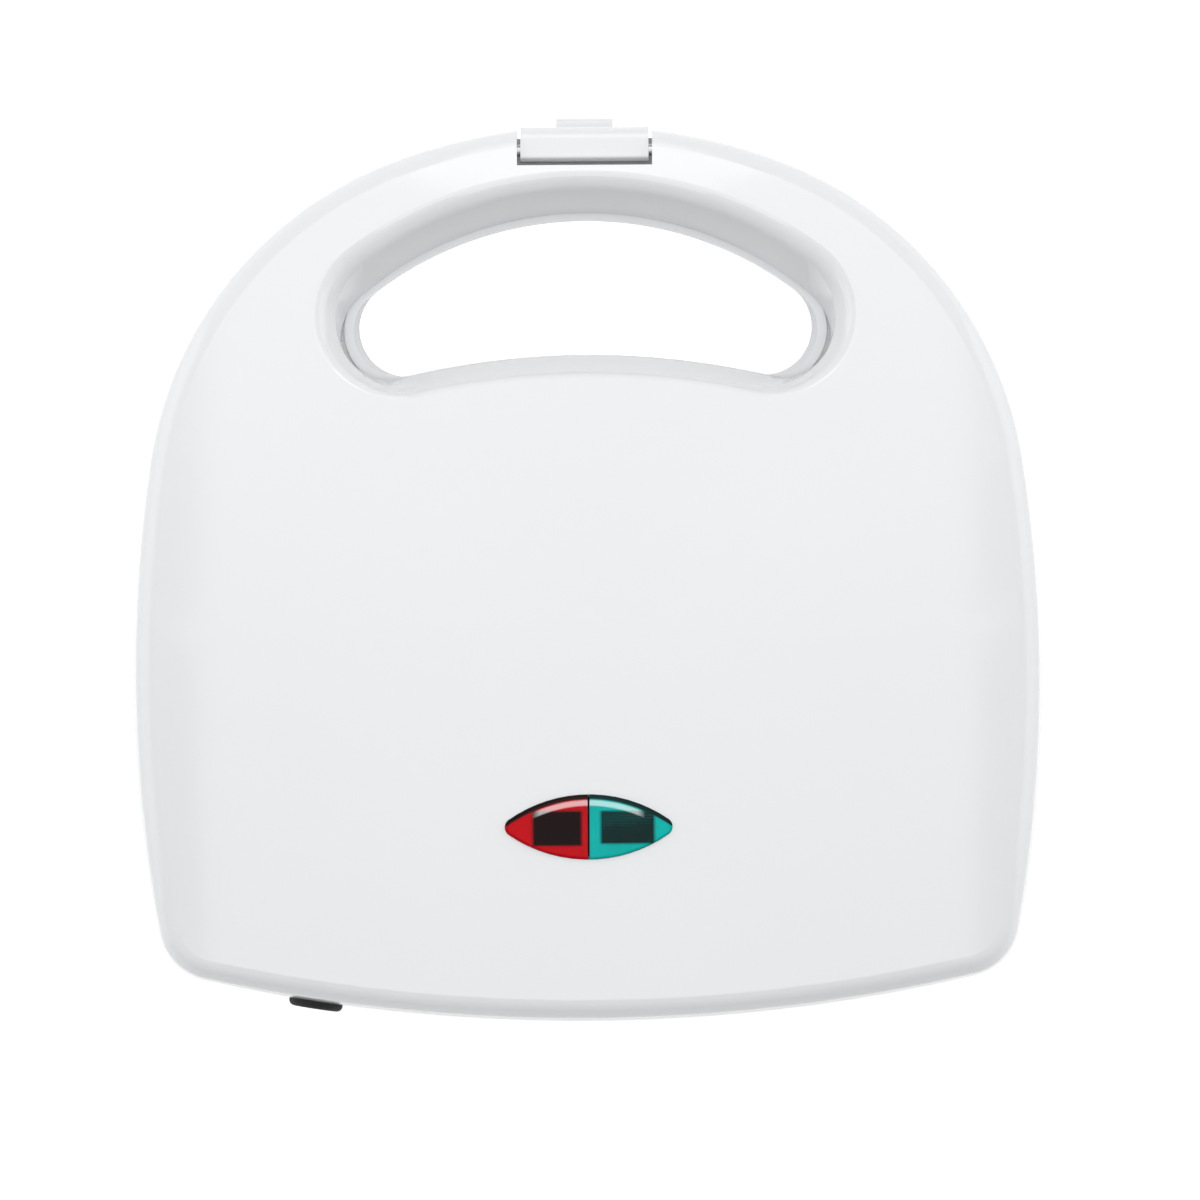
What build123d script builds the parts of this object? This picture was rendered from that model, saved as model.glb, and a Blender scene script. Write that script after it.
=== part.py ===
from build123d import *
from math import asin, atan, cos, degrees, pi, radians, sin, sqrt, tan
import os

# A sandwich maker with two hinged halves, a loop handle and a latch, in millimetres.
# +Z is up from the table, -Y is the handle, and the lid's hinge runs along X at the rear.

# Plan outline of both halves: five tangent arcs on each side
half_width = 117.5
front_y = -116.0
rear_y = 115.5
widest_y = 25.8
front_radius = 141.8
shoulder_radius = 98.4
side_radius = 358.0
corner_radius = 15.6
rear_radius = 453.0

# Heights and walls of the two housings
foot_height = 6.0
lower_depth = 36.0
crown_height = 34.0
crown_apex_y = 15.0
crown_front_radius = 480.0
crown_rear_radius = 750.0
crown_side_radius = 1300.0
lower_handle_depth = 17.0
step_rear_y = -44.0
step_front_y = -80.0
shell_wall = 2.5
wall_draft = 3.0
edge_fillet = 5.5
parting_gap = 0.5
rear_bevel_width = 2.3
rear_bevel_height = 2.2

# Opening of the loop handle, at the parting line
opening_front_y = -92.6
opening_rear_y = -56.7
opening_front_radius = 90.5
opening_rear_radius = 204.0
opening_end_radius = 11.6
opening_front_slope = 6.2
opening_end_slope = 6.2
opening_rear_slope = 5.0
handle_roll = 6.2
opening_end_roll = 4.0
opening_rear_edge = 1.2
roll_height_share = 0.26
roll_start = radians(65)
roll_end = radians(5)
roll_steps = 9
lower_handle_roll = 9.0
lower_end_flare = 7.5
lower_rear_flare = 5.5
lower_opening_lip = 0.3

# Hinge
hinge_y = 106.0
hinge_drop = 12.0
ear_middle_x = 53.0
ear_width = 14.0
ear_radius = 4.8
ear_side_gap = 0.5
hinge_pin_radius = 2.0
pin_clearance = 0.05
rib_thickness = 2.5
slot_depth = 8.3
trough_front = 7.0
trough_side_margin = 41.5

# Latch
notch_width = 34.8
notch_rear_y = -105.3
notch_floor = 8.0
latch_side_gap = 0.9
latch_pivot_y = -109.3
latch_pivot_height = 12.0
latch_pin_radius = 1.5
latch_thickness = 2.4
latch_roll = 3.4
latch_front_y = -115.2
latch_top_rear_y = -107.0
latch_length = 15.0
latch_hook_length = 3.6
catch_height = 11.0
catch_rear_y = -106.5
catch_gap = 0.3
recess_y = -112.4
lip_width = 14.8
lip_front_y = -118.0

# Cooking plates and what lies behind them
plate_side_margin = 14.5
plate_front_margin = 14.7
plate_rear_margin = 20.0
plate_corner = 18.0
flange_margin = 4.0
flange_corner = 8.0
flange_thickness = 2.0
plate_face_gap = 0.3
plate_fit = 0.4
pocket_margin = 8.0
pocket_gap = 10.0
pocket_depth = 9.0
pocket_draft = 22.0
pocket_corner = 7.0
ridge_width = 7.0
plate_wall = 2.5
element_radius = 3.2
element_seat_gap = 0.2
element_side_margin = 38.0
element_end_margin = 32.0
element_bend = 18.0
element_pin_pitch = 40.0
shield_sheet = 0.8
shield_corner = 14.0
clip_sheet = 0.6
clip_width = 8.0
plate_boss_radius = 2.7
screw_radius = 1.4
screw_head_radius = 2.8
screw_head_height = 1.8
hole_clearance = 0.3

# Frames around the plates
frame_inset = 2.8
frame_thickness = 2.4
frame_step = 0.6
frame_cup_radius = 5.0
frame_cup_depth = 4.6
housing_boss_radius = 3.6
column_radius = 4.6
column_bore_radius = 3.3
screw_side_margin = 33.5
screw_rear_margin = 17.5
handle_screw = (45.0, -95.0)
shoulder_screw_y = -68.0

# Indicator window in the lid
window_y = 65.0
window_length = 43.2
window_breadth = 16.8
window_tip_radius = 2.4
lens_split_gap = 0.5
lens_rise = 0.9
lens_fit = 0.15
lens_flange = 1.5
lamp_radius = 2.6
lamp_length = 13.0
holder_wall = 1.4

# Base fittings
foot_radius = 8.0
foot_spigot_radius = 3.8
foot_side_margin = 35.5
foot_rear_y = 72.0
foot_front_y = -28.0
gland_radius = 7.0
gland_neck_radius = 5.2
gland_bore_radius = 3.3
gland_height = 16.0
gland_shift = 18.0
gland_tip = 2.5
clamp_inset = 21.0
thermostat_radius = 8.0
thermostat_height = 7.0
thermostat_hole_pitch = 23.0
thermostat_x = 24.0
thermostat_y = 30.0
lead_radius = 1.2
sleeve_radius = 3.0
sleeve_x = -24.0
sleeve_reach = 8.0
sleeve_gap = 1.5

# Places worked out from the sizes above
parting_z = foot_height + lower_depth
hinge_z = parting_z - hinge_drop
half_gap = parting_gap / 2
front_centre = Vector(0, front_y + front_radius)
side_centre = Vector(half_width - side_radius, widest_y)
rear_centre = Vector(0, rear_y - rear_radius)
plate_width = 2 * (half_width - plate_side_margin)
plate_front_y = opening_rear_y + plate_front_margin
plate_rear_y = hinge_y - plate_rear_margin
plate_length = plate_rear_y - plate_front_y
plate_middle_y = (plate_front_y + plate_rear_y) / 2
pocket_pitch = (plate_width - 2 * pocket_margin + pocket_gap) / 2 - 3.0
pocket_width = pocket_pitch - pocket_gap
pocket_length = plate_length - 2 * pocket_margin
element_width = plate_width - 2 * element_side_margin
element_length = plate_length - 2 * element_end_margin
trough_half_width = half_width - trough_side_margin
frame_screws = [
    (half_width - screw_side_margin, shoulder_screw_y),
    handle_screw,
    (half_width - screw_side_margin, rear_y - screw_rear_margin),
]
foot_places = [
    (half_width - foot_side_margin, foot_rear_y),
    (half_width - foot_side_margin, foot_front_y),
]
flange_back = frame_step + frame_thickness + flange_thickness
bump_back = plate_face_gap + pocket_depth + plate_wall
element_height = bump_back + element_seat_gap + element_radius
shield_floor = element_height + element_radius + 1.0
shield_back = shield_floor + shield_sheet
column_seat = frame_cup_depth + 0.6 + 3.0
lamp_floor = shield_back + 0.4
trough_wall_top = shield_back - 0.8


def meet(centre_a, radius_a, centre_b, radius_b):
    """Where two circles cross, on the left of the line from the first centre to the second."""
    span = centre_b - centre_a
    along = (radius_a**2 - radius_b**2 + span.length**2) / (2 * span.length)
    across = sqrt(radius_a**2 - along**2)
    unit = span.normalized()
    return centre_a + unit * along + Vector(-unit.Y, unit.X) * across


def arc_middle(centre, radius, start, end):
    """The point halfway along the short arc from start to end."""
    way = (start - centre).normalized() + (end - centre).normalized()
    return centre + way.normalized() * radius


def mirrored(point):
    return Vector(-point.X, point.Y, point.Z)


def outline(inset=0.0):
    """The plan outline as a face, drawn in by inset about unchanged arc centres."""
    shoulder = meet(
        front_centre, front_radius - shoulder_radius, side_centre, side_radius - shoulder_radius
    )
    corner = meet(
        side_centre, side_radius - corner_radius, rear_centre, rear_radius - corner_radius
    )
    tangents = [
        front_centre + (shoulder - front_centre).normalized() * (front_radius - inset),
        side_centre + (shoulder - side_centre).normalized() * (side_radius - inset),
        side_centre + (corner - side_centre).normalized() * (side_radius - inset),
        rear_centre + (corner - rear_centre).normalized() * (rear_radius - inset),
    ]
    middles = [
        arc_middle(shoulder, shoulder_radius - inset, tangents[0], tangents[1]),
        arc_middle(side_centre, side_radius - inset, tangents[1], tangents[2]),
        arc_middle(corner, corner_radius - inset, tangents[2], tangents[3]),
    ]
    arcs = [ThreePointArc(mirrored(tangents[0]), Vector(0, front_y + inset), tangents[0])]
    for start, middle, end in zip(tangents[:3], middles, tangents[1:]):
        arcs.append(ThreePointArc(start, middle, end))
    arcs.append(ThreePointArc(tangents[3], Vector(0, rear_y - inset), mirrored(tangents[3])))
    for start, middle, end in zip(tangents[:0:-1], middles[::-1], tangents[2::-1]):
        arcs.append(ThreePointArc(mirrored(start), mirrored(middle), mirrored(end)))
    return make_face(Curve() + arcs)


def opening_wire(front, ends, rear, place):
    """The handle opening's outline, moved outwards, with each point put in space by place."""
    front_c = Vector(0, opening_front_y + opening_front_radius)
    rear_c = Vector(0, opening_rear_y + opening_rear_radius)
    front_r = opening_front_radius + front
    rear_r = opening_rear_radius - rear
    end_r = opening_end_radius + ends
    end_c = meet(rear_c, rear_r + end_r, front_c, front_r - end_r)
    front_join = front_c + (end_c - front_c).normalized() * front_r
    rear_join = end_c + (rear_c - end_c).normalized() * end_r
    end_middle = arc_middle(end_c, end_r, front_join, rear_join)
    stops = [
        (mirrored(front_join), front_c - Vector(0, front_r), front_join),
        (front_join, end_middle, rear_join),
        (rear_join, rear_c - Vector(0, rear_r), mirrored(rear_join)),
        (mirrored(rear_join), mirrored(end_middle), mirrored(front_join)),
    ]
    return Wire([ThreePointArc(*[place(point) for point in stop]) for stop in stops])


def crown_level(point):
    """Height of the crown over the parting plane, near the handle."""
    back = crown_apex_y - point.Y
    fall = back**2 / (2 * crown_front_radius) + point.X**2 / (2 * crown_side_radius)
    return crown_height - fall


def roll_shares(turn):
    """How far the handle's roll has gone outwards and upwards, from 0 to 1 each."""
    lean = roll_start + (roll_end - roll_start) * turn
    out = (sin(roll_start) - sin(lean)) / (sin(roll_start) - sin(roll_end))
    up = (cos(lean) - cos(roll_start)) / (cos(roll_end) - cos(roll_start))
    return out, up


def opening_plug(grow):
    """What the handle opening takes out of the lid: a sloping wall that rolls into the crown."""
    straight = 1 - roll_height_share
    stages = [(-0.2 * straight, -0.2, 0.0, 0.0)]
    for step in range(roll_steps + 1):
        turn = step / roll_steps
        out, up = roll_shares(turn)
        edge = max(turn - 0.5, 0.0) / 0.5
        stages.append((straight + roll_height_share * up, 1.0, out, edge**2))
    stages.append((1.2, 1.0, 1.4, 3.0))
    wires = []
    for level, slope, roll, edge in stages:
        flat = level * crown_height if level < 0 or level > 1.1 else None

        def place(point):
            height = level * crown_level(point) if flat is None else flat
            return Vector(point.X, point.Y, height)

        wires.append(
            opening_wire(
                opening_front_slope * slope + handle_roll * roll + grow,
                opening_end_slope * slope + opening_end_roll * roll + grow,
                opening_rear_slope * level + opening_rear_edge * edge + grow,
                place,
            )
        )
    return Solid.make_loft(wires, ruled=True)


def crown(inset):
    """Everything under the lid's crowned top, which turns about a line along Y."""
    top = crown_height - inset
    reach = 132.0
    front_turn = asin((crown_apex_y + reach) / crown_front_radius)
    rear_turn = asin((reach - crown_apex_y) / crown_rear_radius)

    def on_crown(radius, turn):
        return Vector(
            0,
            crown_apex_y + (radius - inset) * sin(turn),
            crown_height - radius + (radius - inset) * cos(turn),
        )

    apex = Vector(0, crown_apex_y, top)
    front = on_crown(crown_front_radius, -front_turn)
    rear = on_crown(crown_rear_radius, rear_turn)
    below = Vector(0, 0, -20)
    profile = make_face(
        Curve()
        + [
            ThreePointArc(front, on_crown(crown_front_radius, -front_turn / 2), apex),
            ThreePointArc(apex, on_crown(crown_rear_radius, rear_turn / 2), rear),
            Line(rear, Vector(0, rear.Y, below.Z)),
            Line(Vector(0, rear.Y, below.Z), Vector(0, front.Y, below.Z)),
            Line(Vector(0, front.Y, below.Z), front),
        ]
    )
    axis = Axis((0, 0, crown_height - crown_side_radius), (0, 1, 0))
    swing = 2 * degrees(asin(reach / crown_side_radius))
    return revolve(profile.rotate(axis, -swing / 2), axis, revolution_arc=swing)


def underside(inset):
    """Everything above the base's underside, drawn upside down, with the step to the handle."""
    rise = lower_depth - lower_handle_depth
    run = step_rear_y - step_front_y
    bend = (run**2 + rise**2) / (4 * rise)
    turn = 2 * atan(rise / run)
    body = Vector(0, step_rear_y, lower_depth - bend)
    handle = Vector(0, step_front_y, lower_handle_depth + bend)

    def about(centre, radius, angle):
        return centre + Vector(0, -sin(angle), cos(angle)) * radius

    reach = 140.0
    start = about(body, bend - inset, 0)
    join = about(body, bend - inset, turn)
    end = about(handle, -(bend + inset), 0)
    profile = make_face(
        Curve()
        + [
            Line(Vector(0, reach, start.Z), start),
            ThreePointArc(start, about(body, bend - inset, turn / 2), join),
            ThreePointArc(join, about(handle, -(bend + inset), turn / 2), end),
            Line(end, Vector(0, -reach, end.Z)),
            Line(Vector(0, -reach, end.Z), Vector(0, -reach, -20)),
            Line(Vector(0, -reach, -20), Vector(0, reach, -20)),
            Line(Vector(0, reach, -20), Vector(0, reach, start.Z)),
        ]
    )
    return extrude(profile, amount=reach, both=True)


def half_block(inset, start, form, fillet_radius):
    """One half's outer form, drawn upwards from start, with drafted walls and a rounded edge."""
    prism = extrude(Pos(0, 0, start) * outline(inset), amount=60, taper=wall_draft)
    block = prism & form
    rim = []
    for edge in block.edges():
        ends = [edge.start_point(), edge.end_point()]
        middle = edge.position_at(0.5)
        across = abs(middle.X) < 1 and front_y + 20 < middle.Y < rear_y - 20
        if min(point.Z for point in ends) > start + 8 and not across:
            rim.append(edge)
    return fillet(rim, fillet_radius)


def lid_block(inset, start):
    block = half_block(inset, start, crown(inset), edge_fillet - inset)
    return block - opening_plug(inset)


def base_block(inset, start):
    block = half_block(inset, start, underside(inset), edge_fillet - inset)
    grow = inset - lower_opening_lip
    stages = [
        (-3.0, 0.0),
        (lower_handle_depth - lower_handle_roll, 0.0),
        (lower_handle_depth, lower_handle_roll),
        (lower_depth + 4.0, lower_handle_roll),
    ]
    wires = []
    for level, roll in stages:
        share = max(level, 0.0) / lower_depth
        wires.append(
            opening_wire(
                roll + grow,
                lower_end_flare * share + grow,
                lower_rear_flare * share + grow,
                lambda point: Vector(point.X, point.Y, level),
            )
        )
    return block - Solid.make_loft(wires)


def lift(shape):
    """From parting-plane height to the row's frame, for pieces of the lid."""
    return Pos(0, 0, parting_z) * shape


def sink(shape):
    """The same piece turned over about the parting plane, for the base."""
    return Pos(0, 0, parting_z) * mirror(shape, about=Plane.XY)


def both_sides(places):
    return [(side * x, y) for x, y in places for side in (1, -1)]


def post(x, y, low, high, radius):
    return Pos(x, y, (low + high) / 2) * Cylinder(radius, high - low)


def bar_x(y, z, radius, length, x=0.0):
    return Pos(x, y, z) * Rot(0, 90, 0) * Cylinder(radius, length)


def rounded_plate(width, length, radius, low, high, y=plate_middle_y):
    face = RectangleRounded(width, length, radius)
    return Pos(0, y, low) * extrude(face, amount=high - low)


def box(low, high):
    size = [b - a for a, b in zip(low, high)]
    middle = [(a + b) / 2 for a, b in zip(low, high)]
    return Pos(*middle) * Box(*size)


def group(pieces):
    return Compound(children=list(pieces))


def screw(x, y, under_head, length):
    """A pan-head screw whose head stands on under_head and whose shank points up."""
    shank = post(x, y, under_head, under_head + length, screw_radius)
    head = post(x, y, under_head - screw_head_height, under_head, screw_head_radius)
    return shank + fillet(head.edges().group_by(Axis.Z)[0], 0.8)


def tube(points, bends, radius):
    """A round tube along straight runs that are joined by arcs."""
    path = FilletPolyline(*points, radius=bends)
    ring = Plane(path @ 0, z_dir=path % 0) * Circle(radius)
    return sweep(ring, path=path)


def window_face(inset):
    """The leaf-shaped window between two arcs, with rounded tips."""
    half = window_length / 2 + 1.5
    rise = window_breadth / 2
    radius = (half**2 + rise**2) / (2 * rise) - inset
    offset = radius + inset - rise
    leaf = Pos(0, offset) * Circle(radius) & Pos(0, -offset) * Circle(radius)
    leaf = fillet(leaf.vertices(), window_tip_radius - min(inset, 1.0))
    return Pos(0, window_y) * leaf


def ear(side):
    """One of the lid's two hinge ears, hanging from the rear wall down to the hinge line."""
    low = ear_middle_x - ear_width / 2
    high = ear_middle_x + ear_width / 2
    tab = box(
        (low, hinge_y - ear_radius, -hinge_drop),
        (high, hinge_y + ear_radius, crown_height - 12),
    )
    eye = bar_x(0, 0, ear_radius, ear_width)
    shape = tab + Pos(ear_middle_x, hinge_y, -hinge_drop) * eye
    bore = Pos(ear_middle_x, hinge_y, -hinge_drop) * bar_x(
        0, 0, hinge_pin_radius + pin_clearance, ear_width + 2
    )
    shape = shape - bore
    return shape if side > 0 else mirror(shape, about=Plane.YZ)


def latch_notch():
    """The space in the upper handle's front that the latch moves in."""
    half = notch_width / 2
    pocket = box((-half, front_y - 5, notch_floor), (half, notch_rear_y, crown_height))
    recess = box((-half, front_y - 5, -1), (half, recess_y, crown_height))
    return pocket + recess


def upper_housing():
    shell = lid_block(0, half_gap) - lid_block(shell_wall, half_gap - 1)
    half = notch_width / 2 + shell_wall
    liner = box(
        (-half, front_y, notch_floor - shell_wall), (half, notch_rear_y + shell_wall, 40)
    ) + box((-half, front_y, half_gap), (half, recess_y + shell_wall, 40))
    shell += liner & lid_block(0.1, half_gap)
    shell -= latch_notch()
    pin_bore = Pos(0, latch_pivot_y, latch_pivot_height) * Rot(0, 90, 0) * Cylinder(
        latch_pin_radius + pin_clearance, notch_width + 2 * shell_wall + 1
    )
    shell -= pin_bore
    for side in (1, -1):
        shell += ear(side) & (lid_block(0.1, half_gap) + box((-200, 0, -40), (200, 200, 1)))
    solid = lid_block(0.1, half_gap)
    for x, y in both_sides(frame_screws):
        shell += post(x, y, frame_cup_depth + 0.6, 40, housing_boss_radius) & solid
        shell -= post(x, y, frame_cup_depth - 1, frame_cup_depth + 9, screw_radius)
    for x in (-18.0, 18.0):
        shell += post(x, window_y, lamp_ear_top(), 40, 2.6) & solid
        shell -= post(x, window_y, lamp_ear_top() - 1, lamp_ear_top() + 3.0, 1.0)
    cut = extrude(Pos(0, 0, 10) * window_face(0), amount=40)
    return shell - cut


def lamp_ear_top():
    """Where the lamp holder's ears meet the lid's two short bosses."""
    return lamp_floor + 4.2


def lens(side):
    """Half of the domed window, with a flange that holds it under the lid's wall."""
    rise = crown(-lens_rise)
    body = extrude(Pos(0, 0, 20) * window_face(lens_fit), amount=30) & rise
    top = [e for e in body.edges() if e.position_at(0.5).Z > crown_height - 6]
    body = fillet(top, 0.7)
    body -= crown(shell_wall + 1.2)
    rim = extrude(Pos(0, 0, 20) * window_face(-lens_flange), amount=30)
    rim = rim & crown(shell_wall + 0.05)
    rim -= crown(shell_wall + 1.2)
    shape = body + rim
    reach = window_length
    keep = box((lens_split_gap / 2, 0, 0), (reach, 200, 60))
    keep = keep if side > 0 else mirror(keep, about=Plane.YZ)
    return shape & keep


def lamp_holder():
    """An open box with one bay for each lamp, hung from two bosses in the lid."""
    floor = lamp_floor
    top = crown_height - shell_wall - 3.2
    block = box((-15, window_y - 7.5, floor), (15, window_y + 7.5, top - 1.2))
    for side in (1, -1):
        middle = side * 7.6
        block -= box(
            (middle - 6.6, window_y - 6.1, floor + holder_wall),
            (middle + 6.6, window_y + 6.1, top + 1),
        )
    high = lamp_ear_top() - 0.05
    for side in (1, -1):
        low_x, high_x = sorted((side * 14.8, side * 21.0))
        block += box((low_x, window_y - 3.5, high - 1.6), (high_x, window_y + 3.5, high))
        block -= post(side * 18.0, window_y, high - 3, high + 1, 1.3)
    return block


def neon_lamp(side):
    """A small glass lamp lying on the floor of its bay."""
    radius = lamp_radius
    level = lamp_floor + holder_wall + 0.1 + radius
    glass = Pos(side * 7.6, window_y, level) * Rot(90, 0, 0) * Cylinder(radius, lamp_length - 4)
    return fillet(glass.edges().filter_by(GeomType.CIRCLE), 1.2)


def latch():
    """The clip: a top plate, a rolled front and a hook that goes under the base's catch."""
    half = notch_width / 2 - latch_side_gap
    top = crown_height - (crown_apex_y - latch_front_y) ** 2 / (2 * crown_front_radius) - 0.6
    low = -latch_length
    back = latch_front_y + latch_thickness
    front = box((-half, latch_front_y, low), (half, back, top))
    plate = box((-half, latch_front_y, top - latch_thickness), (half, latch_top_rear_y, top))
    hub = Pos(0, latch_pivot_y, latch_pivot_height) * Rot(0, 90, 0) * Cylinder(
        latch_pin_radius + 1.6, 2 * half
    )
    neck = box(
        (-half, latch_front_y, latch_pivot_height - 1.6),
        (half, latch_pivot_y, latch_pivot_height + 1.6),
    )
    hook = box(
        (-half + 3, back - 0.5, low), (half - 3, back + latch_hook_length, -catch_height - catch_gap)
    )
    shape = front + plate + hub + neck + hook
    edges = [
        e for e in shape.edges().filter_by(Axis.X)
        if abs(e.center().Y - latch_front_y) < 0.01 and abs(e.center().Z - top) < 0.01
    ]
    shape = fillet(edges, latch_roll)
    tail = [
        e for e in shape.edges().filter_by(Axis.X)
        if abs(e.center().Y - latch_top_rear_y) < 0.01 and abs(e.center().Z - top) < 0.01
    ]
    shape = fillet(tail, 0.8)
    lip = box((-lip_width / 2, lip_front_y, low), (lip_width / 2, latch_front_y + 0.5, low + 3.0))
    lip = fillet(lip.edges().filter_by(Axis.X).group_by(Axis.Y)[0], 1.2)
    shape += lip
    bore = Pos(0, latch_pivot_y, latch_pivot_height) * Rot(0, 90, 0) * Cylinder(
        latch_pin_radius + pin_clearance, notch_width + 2
    )
    return shape - bore


def latch_pin():
    length = notch_width + 2 * shell_wall - 0.4
    pin = Cylinder(latch_pin_radius, length)
    return Pos(0, latch_pivot_y, latch_pivot_height) * Rot(0, 90, 0) * pin


def frame(cups):
    """The bezel around one plate, with cups for screw heads or plain bosses."""
    back = frame_step + frame_thickness
    flat = outline(frame_inset)
    flat -= Pos(0, hinge_y - trough_front + 20) * Rectangle(2 * trough_half_width, 40)
    plate = extrude(Pos(0, 0, frame_step) * flat, amount=frame_thickness)
    for x, y in both_sides(frame_screws):
        plate += post(x, y, frame_step, frame_cup_depth + 0.5, frame_cup_radius)
    rim = rounded_plate(
        plate_width + 2 * flange_margin + 2 * plate_fit + 2.4,
        plate_length + 2 * flange_margin + 2 * plate_fit + 2.4,
        flange_corner + 1.2, back - 0.5, flange_back,
    )
    rim -= rounded_plate(
        plate_width + 2 * flange_margin + 2 * plate_fit,
        plate_length + 2 * flange_margin + 2 * plate_fit,
        flange_corner, back - 1, flange_back + 1,
    )
    plate += rim & extrude(outline(frame_inset + 0.4), amount=20)
    plate &= (lid_block if cups else base_block)(frame_inset, half_gap - 1)
    plate -= rounded_plate(
        plate_width + 2 * plate_fit, plate_length + 2 * plate_fit, plate_corner, -1, back + 0.01
    )
    for x, y in plate_bosses():
        plate += post(x, y, back - 0.5, flange_back, plate_boss_radius)
        plate -= post(x, y, back + 0.2, flange_back + 1, screw_radius - 0.2)
    for x, y in both_sides(frame_screws):
        if cups:
            plate -= post(x, y, -1, frame_cup_depth - 1.2, screw_head_radius + hole_clearance)
            plate -= post(x, y, -1, 8, screw_radius + hole_clearance)
        else:
            plate -= post(x, y, frame_step + 1.2, 8, screw_radius)
    trough_y = hinge_y - trough_front
    plate += box(
        (-trough_half_width + 4, trough_y - 1.6, frame_step),
        (trough_half_width - 4, trough_y, trough_wall_top),
    )
    half = notch_width / 2 + shell_wall + 0.3
    plate -= box((-half, front_y - 5, -1), (half, notch_rear_y + shell_wall + 0.3, 30))
    return plate


def plate_bosses():
    """The four corners where the plate's flange is screwed to its frame."""
    shift = 4.6
    x = plate_width / 2 + flange_margin - shift
    return [
        (side * x, plate_middle_y + end * (plate_length / 2 + flange_margin - shift))
        for side in (1, -1)
        for end in (1, -1)
    ]


def pocket_faces():
    """The two triangles of one sandwich pocket on each side of its diagonal ridge."""
    diagonal = sqrt(pocket_width**2 + pocket_length**2)
    lean = degrees(atan(pocket_length / pocket_width))
    whole = Rectangle(pocket_width, pocket_length)
    band = Rot(0, 0, lean) * Rectangle(diagonal + 20, ridge_width)
    faces = []
    for face in (whole - band).faces():
        faces.append(fillet(face.vertices(), pocket_corner))
    return faces


def plate():
    """A die-cast plate with a flange, a raised land and four triangular pockets."""
    land_low = plate_face_gap
    flange_low = frame_step + frame_thickness + 0.05
    body = rounded_plate(plate_width, plate_length, plate_corner, land_low, flange_back)
    body += rounded_plate(
        plate_width + 2 * flange_margin, plate_length + 2 * flange_margin, flange_corner,
        flange_low, flange_back,
    )
    hollow = []
    for side in (1, -1):
        for face in pocket_faces():
            wall = extrude(
                Pos(0, 0, land_low) * offset(face, amount=plate_wall),
                amount=pocket_depth + plate_wall, taper=pocket_draft,
            )
            well = extrude(
                Pos(0, 0, land_low - 0.001) * face, amount=pocket_depth, taper=pocket_draft
            )
            for shape, kind in ((wall, 1), (well, 0)):
                placed = Pos(pocket_pitch / 2, plate_middle_y, 0) * shape
                placed = placed if side > 0 else mirror(placed, about=Plane.YZ)
                if kind:
                    body += placed
                else:
                    hollow.append(placed)
    for well in hollow:
        body -= well
    for x, y in plate_bosses():
        body -= post(x, y, -1, 20, plate_boss_radius + hole_clearance)
    return body


def element():
    """The bent tubular heater on the plate's back, with both cold ends at the rear."""
    half = element_width / 2
    front = plate_middle_y - element_length / 2
    rear = plate_middle_y + element_length / 2
    pin = element_pin_pitch / 2
    exit_y = plate_rear_y + 8
    points = [
        (-pin, exit_y, element_height),
        (-pin, rear, element_height),
        (-half, rear, element_height),
        (-half, front, element_height),
        (half, front, element_height),
        (half, rear, element_height),
        (pin, rear, element_height),
        (pin, exit_y, element_height),
    ]
    bend = [9.0] + [element_bend] * 4 + [9.0]
    return tube(points, bend, element_radius)


def shield():
    """The sheet tray behind the element, with a rim that clamps the plate's flange."""
    rim_low = flange_back + 0.05
    rim = rounded_plate(
        plate_width + 2 * flange_margin - 0.6, plate_length + 2 * flange_margin - 0.6,
        flange_corner, rim_low, rim_low + shield_sheet,
    )
    width = plate_width - 6
    length = plate_length - 4
    tray = rounded_plate(width, length, shield_corner, rim_low, shield_back)
    tray = fillet(tray.edges().group_by(Axis.Z)[-1], 3.0)
    inner = rounded_plate(
        width - 2 * shield_sheet, length - 2 * shield_sheet, shield_corner - shield_sheet,
        rim_low - 1, shield_floor,
    )
    inner = fillet(inner.edges().group_by(Axis.Z)[-1], 3.0 - shield_sheet)
    tray = rim + tray - inner
    pin = element_pin_pitch / 2
    for x in (-pin, pin):
        hole = Pos(x, plate_rear_y - 2, element_height) * Rot(90, 0, 0) * Cylinder(
            element_radius + 0.5, 14
        )
        tray -= hole
    for x, y in plate_bosses():
        tray -= post(x, y, rim_low - 1, rim_low + 3, screw_radius + hole_clearance)
    return tray


def clips():
    """Sheet straps that hold the heater down on the plate's back."""
    half = element_width / 2
    pieces = []
    for side in (1, -1):
        for y in (plate_middle_y - 8,):
            outer = element_radius + 0.25 + clip_sheet
            x = side * half
            arch = Pos(x, y, element_height) * Rot(90, 0, 0) * Cylinder(outer, clip_width)
            legs = box(
                (x - outer, y - clip_width / 2, bump_back + 0.1),
                (x + outer, y + clip_width / 2, element_height),
            )
            foot = box(
                (x - outer - 5, y - clip_width / 2, bump_back + 0.1),
                (x + outer + 5, y + clip_width / 2, bump_back + 0.1 + clip_sheet),
            )
            bore = Pos(x, y, element_height) * Rot(90, 0, 0) * Cylinder(
                element_radius + 0.25, clip_width + 2
            )
            gap = box(
                (x - element_radius - 0.25, y - clip_width, bump_back - 1),
                (x + element_radius + 0.25, y + clip_width, element_height),
            )
            pieces.append(arch + legs + foot - bore - gap)
    return group(pieces)


def shield_screws():
    """Four screws through the tray's rim into the frame's bosses, heads behind the rim."""
    under = flange_back + 0.05 + shield_sheet + 0.05
    pieces = []
    for x, y in plate_bosses():
        head = post(x, y, under, under + screw_head_height, screw_head_radius)
        head = fillet(head.edges().group_by(Axis.Z)[-1], 0.8)
        pieces.append(head + post(x, y, flange_back - 1.6, under, screw_radius - 0.25))
    return group(pieces)


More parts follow.
